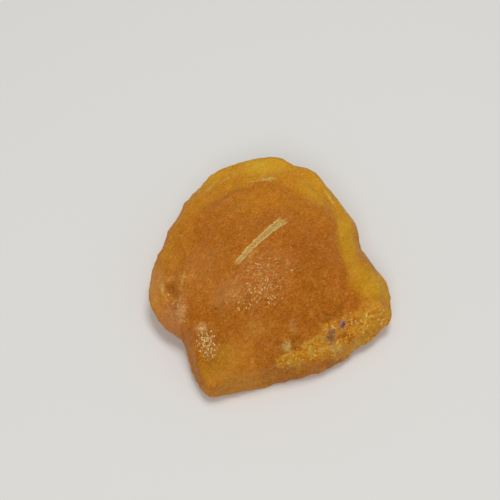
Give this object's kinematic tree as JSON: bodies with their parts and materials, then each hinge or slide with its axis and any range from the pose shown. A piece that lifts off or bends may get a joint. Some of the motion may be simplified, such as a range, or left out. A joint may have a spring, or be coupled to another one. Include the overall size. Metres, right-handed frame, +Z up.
{
  "type": "raw copal lump",
  "caption": "Rough broken lump of raw copal resin with a domed crown, a steep front break, a thin rim and a crusted lower right edge.",
  "frame": {"origin": "on the resting surface, under the middle of the lump's outline", "axes": "+Z up from the resting face, +Y from the steep front break to the thin back rim, +X to the tip on the right"},
  "size_m": [0.046, 0.0492, 0.0164],
  "materials": {
    "copal": "translucent honey-orange resin with a frosted, finely scratched surface"
  },
  "bodies": {
    "root": {"copal": "copal"}
  },
  "joints": []
}
